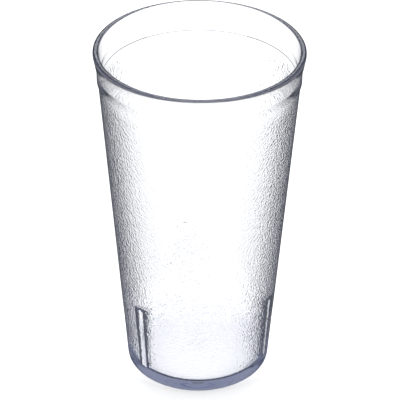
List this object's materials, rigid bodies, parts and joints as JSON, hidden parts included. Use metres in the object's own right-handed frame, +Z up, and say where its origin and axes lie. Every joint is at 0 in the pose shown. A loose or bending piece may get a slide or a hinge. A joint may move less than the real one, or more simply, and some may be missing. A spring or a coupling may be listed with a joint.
{
  "type": "plastic tumbler",
  "caption": "Clear rigid plastic drinking tumbler: pebbled tapering wall, smooth lip band, foot ring and stacking lugs inside.",
  "frame": {"origin": "centre of the foot ring, on the surface that the cup stands on", "axes": "+Z up along the cup's axis, towards the lip; +X through the middle of one stacking lug"},
  "size_m": [0.084, 0.084, 0.147],
  "materials": {
    "clear_plastic": "clear rigid styrene plastic with a faint blue-violet tint, polished inside, at the lip and at the foot, and finely pebbled on the outside of the body"
  },
  "bodies": {
    "root": {"tumbler": "clear_plastic"}
  },
  "joints": []
}
